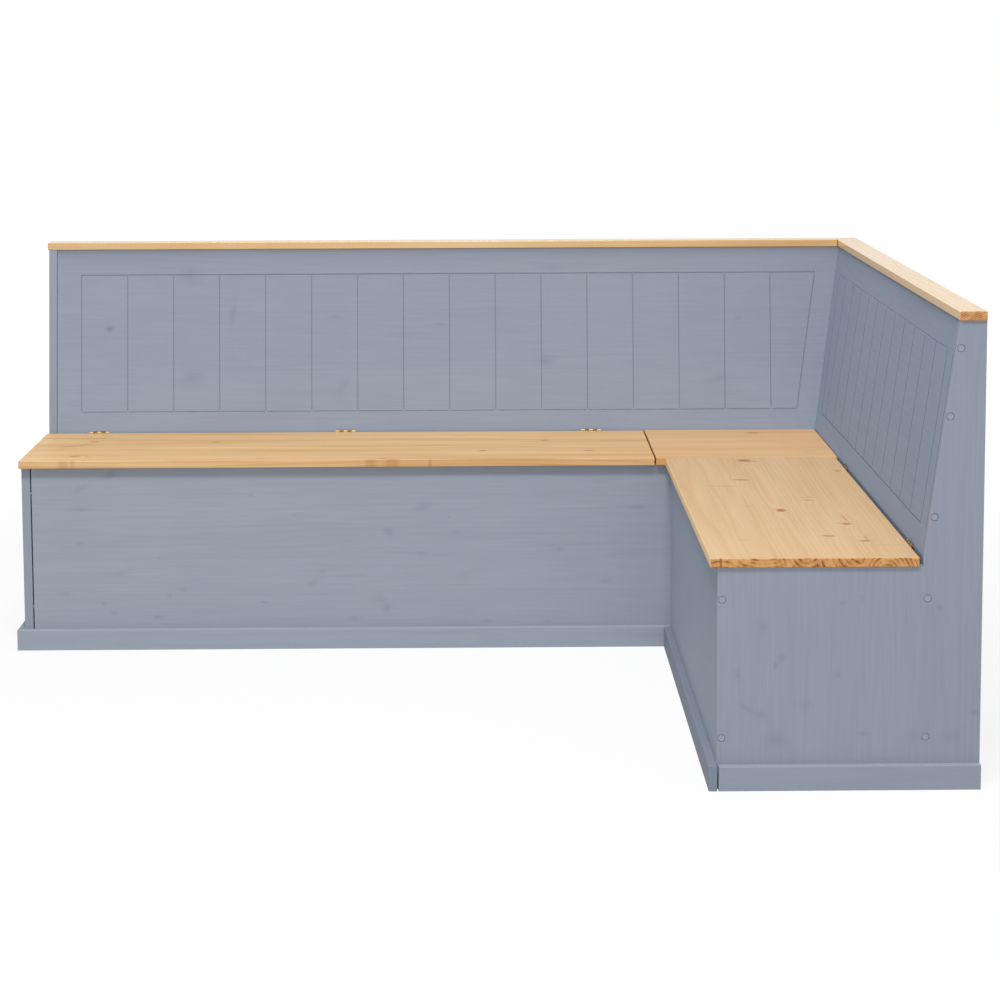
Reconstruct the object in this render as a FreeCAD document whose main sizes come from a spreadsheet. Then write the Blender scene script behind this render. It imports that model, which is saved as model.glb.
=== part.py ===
import FreeCAD, Part
import os
import re
import Sketcher

# Corner storage bench in painted pine with clear pine seats, in millimetres.
# The room's corner is behind the bench on the right. Each leg is described by three distances:
# s, along the leg from the corner; d, out from the leg's own wall; z, up from the floor.
# The row origin is the centre of the footprint, on the floor, with +X along the long leg.

SIZES = [
    ("long_length", 2025, "long leg: side wall to the left end panel's outer face"),
    ("short_length", 1620, "short leg: back wall to the right end panel's outer face"),
    ("total_height", 920, "floor to the top of the rails"),
    ("seat_height", 450, "floor to the top of the seats"),
    ("box_depth", 505, "wall to the face of the front panels"),
    ("board_thickness", 18, "panels, backrests and dividers"),
    ("end_thickness", 20, "the two end panels"),
    ("lid_thickness", 18, "lids and corner seat"),
    ("back_foot_depth", 113.5, "wall to the backrest's face at seat height"),
    ("rail_width", 52, "wall to the rail's front edge"),
    ("rail_thickness", 18, "top rails"),
    ("rail_front_overhang", 1.5, "rail past the backrest's face"),
    ("rail_end_overhang", 3, "rail past the end panels"),
    ("lid_front_overhang", 14, "lid past the front panels"),
    ("lid_end_overhang", 4, "lid past the end panels"),
    ("seam_distance", 542, "side wall to the seam between long lid and corner seat"),
    ("seam_gap", 3, "gap of that seam"),
    ("short_seam_gap", 1, "gap between corner seat and short lid"),
    ("corner_clearance", 1.5, "corner seat to the backrests"),
    ("panel_gap", 2.5, "end panel to front panel"),
    ("back_gap", 1, "end panel to backrest"),
    ("plinth_height", 48, "plinth boards"),
    ("plinth_thickness", 16, "plinth boards"),
    ("plinth_gap", 3, "front plinth to the end plinth's end"),
    ("edge_rounding", 1.5, "painted edges"),
    ("lid_rounding", 2, "edges of the clear pine boards"),
    ("groove_width", 2.5, "routed grooves of the backrests"),
    ("groove_depth", 2, "routed grooves of the backrests"),
    ("groove_top_margin", 62, "rail to the top groove, up the slope"),
    ("groove_bottom_margin", 50, "seat height to the bottom groove, up the slope"),
    ("long_end_margin", 59, "long backrest's end to its first groove"),
    ("short_end_margin", 54, "short backrest's end to its first groove"),
    ("long_corner_margin", 50, "corner line to the long backrest's last groove"),
    ("short_corner_margin", 76, "corner line to the short backrest's last groove"),
    ("long_groove_count", 15, "upright grooves inside the long frame groove"),
    ("short_groove_count", 11, "upright grooves inside the short frame groove"),
    ("floor_thickness", 8, "chest floors"),
    ("floor_level", 60, "floor to the underside of the chest floors"),
    ("batten_size", 20, "square battens"),
    ("batten_inset", 15, "batten's end to the next panel"),
    ("screw_radius", 3, "connecting screw's shank"),
    ("screw_length", 50, "connecting screw under its head"),
    ("head_radius", 5, "connecting screw's head"),
    ("head_thickness", 4, "connecting screw's head"),
    ("cap_radius", 7.5, "cover caps on the end panels"),
    ("cap_thickness", 2.5, "cover caps"),
    ("cap_recess", 0.5, "cap's face below the panel's face"),
    ("bore_clearance", 0.05, "radial play of screws, dowels, caps and hinge pins"),
    ("low_screw_level", 100, "lower screws of the box panels"),
    ("high_screw_margin", 62, "underside of the lids down to the upper screws of the box panels"),
    ("back_screw_low_margin", 77, "seat height up to the lowest screw of the backrest"),
    ("back_screw_spacing", 130, "middle to highest screw of the backrest"),
    ("back_screw_high_margin", 52, "underside of the rails down to the highest screw"),
    ("dowel_radius", 3, "wooden dowels"),
    ("dowel_cover", 2, "wood behind the lower dowels, which pass behind the hinge screws"),
    ("dowel_in_board", 20, "dowel's depth in a backrest or box back"),
    ("dowel_in_rail", 12, "dowel's depth in a rail"),
    ("dowel_end_inset", 240, "outermost dowels to the backrest's ends at seat height"),
    ("barrel_radius", 3.4, "hinge knuckles"),
    ("barrel_play", 0.35, "knuckles to the wood on both sides"),
    ("pin_radius", 1.75, "hinge pins"),
    ("pin_rise", 0.5, "hinge axis above the seats"),
    ("hinge_length", 50, "hinge leaf along its axis"),
    ("hinge_inset", 130, "hinge's middle to the lid's end"),
    ("leaf_thickness", 1.5, "hinge leaves"),
    ("leaf_reach", 15, "hinge axis to the leaf's lower edge"),
    ("knuckle_play", 0.3, "end play between knuckles, and leaf to knuckle"),
    ("small_screw_radius", 1.5, "hinge screws"),
    ("small_head_radius", 3, "hinge screws' countersunk heads"),
    ("small_screw_length", 11, "hinge screws"),
    ("small_screw_pitch", 17, "hinge screw to hinge screw"),
    ("small_screw_drop", 9.5, "hinge axis to the hinge screws"),
]

# Distances that follow from the sizes above.
DERIVED = {
    "wall_x": "(long_length + plinth_thickness) / 2",
    "wall_y": "(short_length + plinth_thickness) / 2",
    "rail_base": "total_height - rail_thickness",
    "lid_base": "seat_height - lid_thickness",
    "panel_back": "box_depth - board_thickness",
    "back_top_depth": "rail_width - rail_front_overhang",
    "lean": "atan((back_foot_depth - back_top_depth) / (rail_base - seat_height))",
    "slope_length": "(rail_base - seat_height) / cos(lean)",
    "back_run": "board_thickness / cos(lean)",
    "box_back_rear": "back_foot_depth - board_thickness",
    "lid_rear": "back_foot_depth + 2 * (barrel_radius + barrel_play)",
    "lid_front": "box_depth + lid_front_overhang",
    "pin_depth": "back_foot_depth + barrel_radius + barrel_play",
    "pin_level": "seat_height + pin_rise",
    "plinth_front": "box_depth + plinth_thickness",
    "long_inside": "long_length - end_thickness",
    "short_inside": "short_length - end_thickness",
    "long_lid_end": "long_length + lid_end_overhang",
    "short_lid_end": "short_length + lid_end_overhang",
    "long_lid_start": "seam_distance + seam_gap / 2",
    "short_lid_start": "lid_front + short_seam_gap",
    "long_divider_start": "seam_distance - board_thickness / 2",
    "long_divider_end": "seam_distance + board_thickness / 2",
    "short_divider_start": "lid_front - board_thickness / 2",
    "short_divider_end": "lid_front + board_thickness / 2",
    "cap_bore": "cap_recess + cap_thickness",
    "head_bore": "cap_bore + head_thickness",
    "screw_in_board": "head_bore + screw_length - end_thickness",
    "knuckle_pitch": "hinge_length / 5",
    "high_screw_level": "lid_base - high_screw_margin",
    "back_screw_low": "seat_height + back_screw_low_margin",
    "back_screw_mid": "back_screw_high - back_screw_spacing",
    "back_screw_high": "rail_base - back_screw_high_margin",
}

doc = FreeCAD.newDocument("corner_storage_bench")
sheet = doc.addObject("Spreadsheet::Sheet", "Sizes")
for row, (alias, value, meaning) in enumerate(SIZES, start=1):
    sheet.set("A%d" % row, meaning)
    sheet.set("B%d" % row, str(value))
    sheet.setAlias("B%d" % row, alias)
doc.recompute()

ALIASES = {alias for alias, value, meaning in SIZES}
NODES = []


def expr(text):
    """Write a formula of size names as a FreeCAD expression on the sheet."""
    def swap(match):
        word = match.group(0)
        if word in DERIVED:
            return "(" + expr(DERIVED[word]) + ")"
        if word in ALIASES:
            return "Sizes." + word
        return word
    return re.sub(r"[a-z][a-z_]*[a-z]", swap, text)


def number(text):
    """Value of a formula of size names."""
    result = sheet.evalExpression(expr(text))
    return float(getattr(result, "Value", result))


class Leg:
    """How one leg's s, d and z lie in the row frame.

    A body of the leg has its own origin at the leg's outer end of the piece, on the wall line and
    on the floor. u runs from there towards the corner.
    """

    def __init__(self, end_plane, front_plane, inward_is_normal, along_x):
        self.end_plane = end_plane
        self.front_plane = front_plane
        self.inward_is_normal = inward_is_normal
        self.along_x = along_x

    def base(self, outer):
        """Formulas of the body's place when its outer end is at s = outer."""
        if self.along_x:
            return "wall_x - (%s)" % outer, "wall_y"
        return "wall_x", "wall_y - (%s)" % outer

    def top_point(self, u, d):
        """Sketch coordinates of a point in the plan view."""
        if self.along_x:
            return u, "-(%s)" % d
        return "-(%s)" % d, u

    def offset(self, view, distance):
        """Sketch plane's offset along its normal."""
        positive = {"end": self.inward_is_normal, "front": self.inward_is_normal, "top": True}[view]
        return distance if positive else "-(%s)" % distance

    def plane(self, view):
        return {"end": self.end_plane, "front": self.front_plane, "top": "XY_Plane"}[view]

    def along_normal(self, direction):
        """True where a direction is that of the sketch's normal."""
        if direction in ("inward", "room"):
            return self.inward_is_normal
        if direction in ("outward", "wall"):
            return not self.inward_is_normal
        return direction == "up"


LONG = Leg("YZ_Plane", "XZ_Plane", True, True)
SHORT = Leg("XZ_Plane", "YZ_Plane", False, False)


def new_body(name, leg, outer, solids=1):
    """Empty body of a leg, with its place bound to the sheet."""
    body = doc.addObject("PartDesign::Body", name)
    body.Label = name
    body.AllowCompound = solids > 1
    base_x, base_y = leg.base(outer)
    body.setExpression("Placement.Base.x", expr(base_x))
    body.setExpression("Placement.Base.y", expr(base_y))
    NODES.append((body, solids))
    return body


def new_sketch(body, leg, view, distance="0"):
    """Sketch seen along the leg, from the room or from above, at a distance along that view."""
    role = leg.plane(view)
    plane = [item for item in body.Origin.OriginFeatures if item.Role == role][0]
    sketch = body.newObject("Sketcher::SketchObject", body.Name + "_sketch")
    sketch.AttachmentSupport = (plane, [""])
    sketch.MapMode = "FlatFace"
    if distance != "0":
        sketch.setExpression("AttachmentOffset.Base.z", expr(leg.offset(view, distance)))
    return sketch


def bind(sketch, kind, geometry, point, formula):
    """Hold one coordinate of a point at a formula."""
    if formula == "0":
        axis = -2 if kind == "DistanceX" else -1
        sketch.addConstraint(Sketcher.Constraint("PointOnObject", geometry, point, axis))
        return
    constraint = Sketcher.Constraint(kind, -1, 1, geometry, point, number(formula))
    index = sketch.addConstraint(constraint)
    sketch.setExpression("Constraints[%d]" % index, expr(formula))


def polygon(sketch, points):
    """Closed outline with every corner held at formulas."""
    corners = [FreeCAD.Vector(number(x), number(y), 0) for x, y in points]
    first = sketch.GeometryCount
    count = len(corners)
    for index in range(count):
        sketch.addGeometry(Part.LineSegment(corners[index], corners[(index + 1) % count]))
    for index in range(count):
        following = first + (index + 1) % count
        sketch.addConstraint(Sketcher.Constraint("Coincident", first + index, 2, following, 1))
    for index, (x, y) in enumerate(points):
        bind(sketch, "DistanceX", first + index, 1, x)
        bind(sketch, "DistanceY", first + index, 1, y)


def rectangle(sketch, left, right, bottom, top):
    polygon(sketch, [(left, bottom), (right, bottom), (right, top), (left, top)])


def circles(sketch, centres, radius):
    """Equal circles with their centres held at formulas."""
    first = sketch.GeometryCount
    for x, y in centres:
        centre = FreeCAD.Vector(number(x), number(y), 0)
        index = sketch.addGeometry(Part.Circle(centre, FreeCAD.Vector(0, 0, 1), number(radius)))
        bind(sketch, "DistanceX", index, 3, x)
        bind(sketch, "DistanceY", index, 3, y)
        if index > first:
            sketch.addConstraint(Sketcher.Constraint("Equal", first, index))
    held = sketch.addConstraint(Sketcher.Constraint("Radius", first, number(radius)))
    sketch.setExpression("Constraints[%d]" % held, expr(radius))


def pad(body, leg, sketch, direction, length, taper=0):
    """Add material from a sketch towards a direction."""
    feature = body.newObject("PartDesign::Pad", body.Name + "_pad")
    feature.Profile = sketch
    feature.Reversed = not leg.along_normal(direction)
    feature.setExpression("Length", expr(length))
    feature.TaperAngle = taper
    doc.recompute()
    return feature


def pocket(body, leg, sketch, direction, length, taper=0):
    """Cut from a sketch towards a direction, and make sure that it cut."""
    before = body.Shape.Volume
    feature = body.newObject("PartDesign::Pocket", body.Name + "_pocket")
    feature.Profile = sketch
    feature.Reversed = leg.along_normal(direction)
    feature.setExpression("Length", expr(length))
    feature.TaperAngle = taper
    doc.recompute()
    if not body.Shape.Volume < before - 0.01:
        raise RuntimeError("nothing was cut from " + body.Name)
    return feature


def repeat(body, features, sketch, axis, pitch, count):
    """Repeat features in a row along a sketch axis."""
    pattern = body.newObject("PartDesign::LinearPattern", body.Name + "_row")
    pattern.Originals = features
    pattern.Direction = (sketch, [axis])
    pattern.setExpression("Length", expr("(%s) * (%s - 1)" % (pitch, count)))
    pattern.setExpression("Occurrences", expr(count))
    body.Tip = pattern
    doc.recompute()
    return pattern


def round_edges(body, radius, wanted):
    """Round the edges of the body's last feature whose middle and direction are wanted."""
    feature = body.Tip
    names = []
    for index, edge in enumerate(feature.Shape.Edges, start=1):
        middle = edge.valueAt((edge.FirstParameter + edge.LastParameter) / 2)
        if wanted(middle, edge):
            names.append("Edge%d" % index)
    fillet = body.newObject("PartDesign::Fillet", body.Name + "_rounding")
    fillet.Base = (feature, names)
    fillet.setExpression("Radius", expr(radius))
    doc.recompute()
    return fillet


def near(value, formula):
    return abs(value - number(formula)) < 0.01


def prism(name, leg, outer, inner, outline):
    """Board of one section, from s = outer to s = inner, its section given as (d, z) formulas."""
    body = new_body(name, leg, outer)
    sketch = new_sketch(body, leg, "end")
    polygon(sketch, [("0" if d == "0" else "-(%s)" % d, z) for d, z in outline])
    pad(body, leg, sketch, "inward", "(%s) - (%s)" % (outer, inner))
    return body


def board(name, leg, outer, inner, near_wall, far_wall, low, high):
    """Square board between two planes each way."""
    outline = [(near_wall, low), (far_wall, low), (far_wall, high), (near_wall, high)]
    return prism(name, leg, outer, inner, outline)


def depth_of(leg, point):
    """Distance from the wall of a point in a body's own frame."""
    return -point.y if leg.along_x else -point.x


def inward_of(leg, point):
    """Distance from the body's outer end of a point in a body's own frame."""
    return point.x if leg.along_x else point.y


def cut_mitre(body, leg, outer):
    """Cut the corner end along the upright plane that halves the room's corner."""
    sketch = new_sketch(body, leg, "top", "total_height")
    reach = "(%s) - back_foot_depth" % outer
    corners = [(outer, "0"), (outer, "back_foot_depth"), (reach, "back_foot_depth")]
    polygon(sketch, [leg.top_point(u, d) if d != "0" else wall_point(leg, u) for u, d in corners])
    pocket(body, leg, sketch, "down", "total_height")


def wall_point(leg, u):
    return (u, "0") if leg.along_x else ("0", u)


def rods(name, leg, outer, view, distance, centres, radius, direction, length):
    """Group of equal round solids, such as dowels."""
    body = new_body(name, leg, outer, len(centres))
    sketch = new_sketch(body, leg, view, distance)
    circles(sketch, centres, radius)
    pad(body, leg, sketch, direction, length)
    return body


def bores(body, leg, view, distance, centres, radius, direction, length):
    """Equal round holes in a body."""
    sketch = new_sketch(body, leg, view, distance)
    circles(sketch, centres, "%s + bore_clearance" % radius)
    return pocket(body, leg, sketch, direction, length)


# The section of both end panels: seat part, step under the lid's hinges, leaning back part.
END_OUTLINE = [
    ("0", "0"),
    ("box_depth", "0"),
    ("box_depth", "lid_base"),
    ("back_foot_depth", "lid_base"),
    ("back_foot_depth", "seat_height"),
    ("back_top_depth", "rail_base"),
    ("0", "rail_base"),
]

# Depth of the middle of the leaning backrest at a level, for its end screws.
BACK_MIDDLE = "back_foot_depth - back_run / 2 - (%s - seat_height) * tan(lean)"
FRONT_SCREWS = [("box_depth - board_thickness / 2", level)
                for level in ("low_screw_level", "high_screw_level")]
BOX_BACK_SCREWS = [("back_foot_depth - board_thickness / 2", level)
                   for level in ("low_screw_level", "high_screw_level")]
BACKREST_SCREWS = [(BACK_MIDDLE % level, level)
                   for level in ("back_screw_low", "back_screw_mid", "back_screw_high")]
END_SCREWS = FRONT_SCREWS + BOX_BACK_SCREWS + BACKREST_SCREWS


def end_points(places):
    """Sketch points of (d, z) places in the view along a leg."""
    return [("-(%s)" % d, z) for d, z in places]


def end_panel(name, leg, outer):
    """End panel with its screw holes, head bores and cap recesses in the outer face."""
    body = prism(name, leg, outer, "%s - end_thickness" % outer, END_OUTLINE)

    def visible_edge(middle, edge):
        depth = depth_of(leg, middle)
        front = near(depth, "box_depth")
        sloped = middle.z > number("seat_height") + 1 and 1 < depth and middle.z < number("rail_base") - 1
        across = near(inward_of(leg, middle), "end_thickness / 2")
        return (front or sloped) and not across and middle.z > 1
    round_edges(body, "edge_rounding", visible_edge)
    centres = end_points(END_SCREWS)
    bores(body, leg, "end", "0", centres, "screw_radius", "inward", "end_thickness")
    bores(body, leg, "end", "0", centres, "head_radius", "inward", "head_bore")
    bores(body, leg, "end", "0", centres, "cap_radius", "inward", "cap_bore")
    return body


end_panel("left_end_panel", LONG, "long_length")
end_panel("right_end_panel", SHORT, "short_length")


def connecting_screws(name, leg, outer):
    """Screws through an end panel into the ends of the front panel, box back and backrest."""
    body = new_body(name, leg, outer, len(END_SCREWS))
    centres = end_points(END_SCREWS)
    heads = new_sketch(body, leg, "end", "cap_bore")
    circles(heads, centres, "head_radius")
    pad(body, leg, heads, "inward", "head_thickness")
    shanks = new_sketch(body, leg, "end", "head_bore")
    circles(shanks, centres, "screw_radius")
    pad(body, leg, shanks, "inward", "screw_length")


def cover_caps(name, leg, outer):
    """Round caps over the screw heads, set just below the panel's face."""
    rods(name, leg, outer, "end", "cap_recess", end_points(END_SCREWS), "cap_radius", "inward",
         "cap_thickness")


connecting_screws("left_connecting_screws", LONG, "long_length")
connecting_screws("right_connecting_screws", SHORT, "short_length")
cover_caps("left_cover_caps", LONG, "long_length")
cover_caps("right_cover_caps", SHORT, "short_length")


def front_panel(name, leg, outer, inner):
    """Front panel of a chest, screwed to the end panel across a narrow gap."""
    body = board(name, leg, outer, inner, "panel_back", "box_depth", "0", "lid_base")
    round_edges(body, "edge_rounding", lambda middle, edge:
                near(depth_of(leg, middle), "box_depth") and near(inward_of(leg, middle), "0"))
    bores(body, leg, "end", "0", end_points(FRONT_SCREWS), "screw_radius", "inward",
          "screw_in_board - panel_gap")


front_panel("long_front_panel", LONG, "long_inside - panel_gap", "panel_back")
front_panel("short_front_panel", SHORT, "short_inside - panel_gap", "box_depth")


def spread(length, inset, count):
    """Formulas of evenly spaced distances, the first and last at an inset from the ends."""
    step = "((%s) - 2 * %s) / %d" % (length, inset, count - 1)
    return ["%s + %d * %s" % (inset, index, step) for index in range(count)]


LONG_BACKREST_END = "long_inside - back_gap"
SHORT_BACKREST_END = "short_inside - back_gap"
LONG_DOWELS = spread(LONG_BACKREST_END + " - back_foot_depth", "dowel_end_inset", 5)
SHORT_DOWELS = spread(SHORT_BACKREST_END + " - back_foot_depth", "dowel_end_inset", 4)
DOWEL_FOOT = "box_back_rear + dowel_cover + dowel_radius"
DOWEL_TOP = "back_top_depth - back_run / 2"


def dowel_points(leg, places, shift, depth):
    """Plan points of a row of dowels, its distances counted from the backrest's outer end."""
    return [leg.top_point("%s + %s" % (place, shift), depth) for place in places]


def box_back(name, leg, outer, inner, places):
    """Upright back panel of a chest, which carries the hinges and the backrest."""
    body = board(name, leg, outer, inner, "box_back_rear", "back_foot_depth", "0", "seat_height")
    bores(body, leg, "end", "0", end_points(BOX_BACK_SCREWS), "screw_radius", "inward",
          "screw_in_board")
    bores(body, leg, "top", "seat_height", dowel_points(leg, places, "back_gap", DOWEL_FOOT),
          "dowel_radius", "down", "dowel_in_board")
    return body


long_box_back = box_back("long_box_back", LONG, "long_inside", "box_back_rear", LONG_DOWELS)
short_box_back = box_back("short_box_back", SHORT, "short_inside", "back_foot_depth", SHORT_DOWELS)

BACK_OUTLINE = [
    ("back_foot_depth", "seat_height"),
    ("back_top_depth", "rail_base"),
    ("back_top_depth - back_run", "rail_base"),
    ("back_foot_depth - back_run", "seat_height"),
]


def slope_sketch(body, leg):
    """Sketch on the backrest's leaning face: u along it, v up the slope from seat height."""
    sketch = new_sketch(body, leg, "front", "back_foot_depth")
    turned = FreeCAD.Rotation(FreeCAD.Vector(1, 0, 0), 1)
    sketch.AttachmentOffset = FreeCAD.Placement(FreeCAD.Vector(), turned)
    sketch.setExpression("AttachmentOffset.Base.y", expr("seat_height"))
    lean = "-lean" if leg.inward_is_normal else "lean"
    sketch.setExpression("AttachmentOffset.Rotation.Angle", expr(lean))
    return sketch


def backrest(name, leg, outer, end_margin, corner_margin, count, places):
    """Leaning backrest, mitred at the corner, with a routed frame and upright grooves.

    The upright grooves divide the frame evenly along its top, and the last space narrows downwards.
    """
    body = prism(name, leg, outer, "0", BACK_OUTLINE)
    cut_mitre(body, leg, outer)
    low = "groove_bottom_margin"
    high = "slope_length - groove_top_margin"

    def corner_line(v):
        return "(%s) - back_foot_depth + (%s) * sin(lean) - %s" % (outer, v, corner_margin)
    frame = slope_sketch(body, leg)
    inner_low = "%s + groove_width" % low
    inner_high = "%s - groove_width" % high
    polygon(frame, [(end_margin, low), (corner_line(low), low),
                    (corner_line(high), high), (end_margin, high)])
    polygon(frame, [("%s + groove_width" % end_margin, inner_low),
                    (corner_line(inner_low) + " - groove_width", inner_low),
                    (corner_line(inner_high) + " - groove_width", inner_high),
                    ("%s + groove_width" % end_margin, inner_high)])
    pocket(body, leg, frame, "wall", "groove_depth")
    pitch = "((%s) - %s) / (%s + 1)" % (corner_line(high), end_margin, count)
    upright = slope_sketch(body, leg)
    start = "%s + %s" % (end_margin, pitch)
    rectangle(upright, start, start + " + groove_width", low + " + groove_width / 2",
              high + " - groove_width / 2")
    first = pocket(body, leg, upright, "wall", "groove_depth")
    repeat(body, [first], upright, "H_Axis", pitch, count)
    bores(body, leg, "end", "0", end_points(BACKREST_SCREWS), "screw_radius", "inward",
          "screw_in_board - back_gap")
    bores(body, leg, "top", "seat_height", dowel_points(leg, places, "0", DOWEL_FOOT),
          "dowel_radius", "up", "dowel_in_board")
    bores(body, leg, "top", "rail_base", dowel_points(leg, places, "0", DOWEL_TOP),
          "dowel_radius", "down", "dowel_in_board")


backrest("long_backrest", LONG, LONG_BACKREST_END, "long_end_margin", "long_corner_margin",
         "long_groove_count", LONG_DOWELS)
backrest("short_backrest", SHORT, SHORT_BACKREST_END, "short_end_margin", "short_corner_margin",
         "short_groove_count", SHORT_DOWELS)


def dowels(name, leg, outer, places, level, depth, below, above):
    """Row of upright dowels across a joint."""
    rods(name, leg, outer, "top", "%s - %s" % (level, below), dowel_points(leg, places, "0", depth),
         "dowel_radius", "up", "%s + %s" % (below, above))


for prefix, leg, outer, places in (("long", LONG, LONG_BACKREST_END, LONG_DOWELS),
                                   ("short", SHORT, SHORT_BACKREST_END, SHORT_DOWELS)):
    dowels(prefix + "_foot_dowels", leg, outer, places, "seat_height", DOWEL_FOOT,
           "dowel_in_board", "dowel_in_board")
    dowels(prefix + "_rail_dowels", leg, outer, places, "rail_base", DOWEL_TOP,
           "dowel_in_board", "dowel_in_rail")


def top_rail(name, leg, outer, backrest_outer, places):
    """Clear pine rail on top of the backrest, mitred at the corner."""
    body = board(name, leg, outer, "0", "0", "rail_width", "rail_base", "total_height")
    round_edges(body, "lid_rounding", lambda middle, edge:
                depth_of(leg, middle) > 1 and inward_of(leg, middle) < number(outer) - 1)
    cut_mitre(body, leg, outer)
    shift = "(%s) - (%s)" % (outer, backrest_outer)
    bores(body, leg, "top", "rail_base", dowel_points(leg, places, shift, DOWEL_TOP),
          "dowel_radius", "up", "dowel_in_rail")


top_rail("long_top_rail", LONG, "long_length + rail_end_overhang", LONG_BACKREST_END, LONG_DOWELS)
top_rail("short_top_rail", SHORT, "short_length + rail_end_overhang", SHORT_BACKREST_END, SHORT_DOWELS)

# Dividers close each chest towards the corner and carry the ends of lids and corner seat.
board("long_divider", LONG, "long_divider_end", "long_divider_start", "back_foot_depth",
      "panel_back", "0", "lid_base")
board("short_divider", SHORT, "short_divider_end", "short_divider_start", "back_foot_depth",
      "panel_back", "0", "lid_base")


def chest_floor(prefix, leg, outer, inner):
    """Floor of a chest on two battens that run along the front and back panels."""
    board(prefix + "_chest_floor", leg, outer, inner, "back_foot_depth", "panel_back",
          "floor_level", "floor_level + floor_thickness")
    group = new_body(prefix + "_floor_battens", leg, outer + " - batten_inset", 2)
    sketch = new_sketch(group, leg, "end")
    low = "floor_level - batten_size"
    rectangle(sketch, "-(back_foot_depth + batten_size)", "-back_foot_depth", low, "floor_level")
    rectangle(sketch, "-(panel_back)", "-(panel_back - batten_size)", low, "floor_level")
    pad(group, leg, sketch, "inward", "%s - (%s) - 2 * batten_inset" % (outer, inner))


chest_floor("long", LONG, "long_inside", "long_divider_end")
chest_floor("short", SHORT, "short_inside", "short_divider_end")

# The corner seat is fixed. It lies on the dividers, the long front panel and two battens.
corner_seat = board("corner_seat", LONG, "seam_distance - seam_gap / 2",
                    "back_foot_depth + corner_clearance", "back_foot_depth + corner_clearance",
                    "lid_front", "lid_base", "seat_height")
round_edges(corner_seat, "lid_rounding", lambda middle, edge: True)
BATTEN_LOW = "lid_base - batten_size"
board("corner_batten_long", LONG, "long_divider_start", "back_foot_depth + batten_size",
      "back_foot_depth", "back_foot_depth + batten_size", BATTEN_LOW, "lid_base")
board("corner_batten_short", SHORT, "short_divider_start", "back_foot_depth",
      "back_foot_depth", "back_foot_depth + batten_size", BATTEN_LOW, "lid_base")


def plinth(name, leg, outer, inner, near_wall, far_wall, seen):
    """Plinth board with its upper outer edges rounded."""
    body = board(name, leg, outer, inner, near_wall, far_wall, "0", "plinth_height")
    round_edges(body, "edge_rounding", seen)


def along_front(leg, reach):
    """Edges of a front plinth that show: along its top and at its outer end."""
    def seen(middle, edge):
        front = near(depth_of(leg, middle), "plinth_front")
        return front and middle.z > 1 and inward_of(leg, middle) < number(reach) - 1
    return seen


plinth("long_front_plinth", LONG, "long_length + plinth_thickness", "box_depth", "box_depth",
       "plinth_front", along_front(LONG, "long_length + plinth_thickness - box_depth"))
plinth("short_front_plinth", SHORT, "short_length + plinth_thickness", "plinth_front", "box_depth",
       "plinth_front", along_front(SHORT, "short_length + plinth_thickness - plinth_front"))


def at_outer_top(leg):
    """The outer top edge of an end plinth."""
    return lambda middle, edge: near(inward_of(leg, middle), "0") and near(middle.z, "plinth_height")


plinth("left_end_plinth", LONG, "long_length + plinth_thickness", "long_length", "0",
       "box_depth - plinth_gap", at_outer_top(LONG))
plinth("right_end_plinth", SHORT, "short_length + plinth_thickness", "short_length", "0",
       "box_depth - plinth_gap", at_outer_top(SHORT))


# Butt hinges stand upright in the gap behind each lid, with five knuckles each.
SCREW_ROW = ["hinge_length / 2 - small_screw_pitch", "hinge_length / 2",
             "hinge_length / 2 + small_screw_pitch"]
SCREW_LEVEL = "pin_level - small_screw_drop"


def hinge_screw_points(starts):
    """Front-view points of all the screws of a row of leaves, from each leaf's outer end."""
    return [("%s + %s" % (start, place), SCREW_LEVEL) for start in starts for place in SCREW_ROW]


def hinge_leaf(name, leg, outer, flat_face, inner_face, first_knuckle, knuckles, toward):
    """One leaf: plate, knuckles, pin bore and countersunk screw holes.

    flat_face is the depth of the side on the wood, inner_face that of the side in the gap.
    """
    body = new_body(name, leg, outer)
    plate = new_sketch(body, leg, "end")
    step = "pin_level - barrel_radius - knuckle_play"
    rectangle(plate, "-(%s)" % flat_face, "-(%s)" % inner_face, "pin_level - leaf_reach", step)
    pad(body, leg, plate, "inward", "hinge_length")
    shift = "%d * knuckle_pitch + knuckle_play / 2" % first_knuckle
    width = "knuckle_pitch - knuckle_play"
    tab = new_sketch(body, leg, "end", shift)
    rectangle(tab, "-(%s)" % flat_face, "-(%s)" % inner_face, step + " - knuckle_play", "pin_level")
    tab_pad = pad(body, leg, tab, "inward", width)
    barrel = new_sketch(body, leg, "end", shift)
    circles(barrel, [("-(pin_depth)", "pin_level")], "barrel_radius")
    barrel_pad = pad(body, leg, barrel, "inward", width)
    normal = new_sketch(body, leg, "front")
    repeat(body, [tab_pad, barrel_pad], normal, "H_Axis", "2 * knuckle_pitch", str(knuckles))
    bores(body, leg, "end", "0", [("-(pin_depth)", "pin_level")], "pin_radius", "inward",
          "hinge_length")
    points = [(place, SCREW_LEVEL) for place in SCREW_ROW]
    bores(body, leg, "front", inner_face, points, "small_screw_radius", toward, "leaf_thickness")
    sink = new_sketch(body, leg, "front", inner_face)
    circles(sink, points, "small_head_radius + bore_clearance")
    pocket(body, leg, sink, toward, "small_head_radius - small_screw_radius", taper=-45)


def hinge_screws(name, leg, outer, face, starts, toward):
    """Countersunk screws of one side of all the hinges of a lid."""
    points = hinge_screw_points(starts)
    body = new_body(name, leg, outer, len(points))
    heads = new_sketch(body, leg, "front", face)
    circles(heads, points, "small_head_radius")
    pad(body, leg, heads, toward, "small_head_radius - small_screw_radius", taper=-45)
    shanks = new_sketch(body, leg, "front", face)
    circles(shanks, points, "small_screw_radius")
    pad(body, leg, shanks, toward, "small_screw_length")


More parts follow.
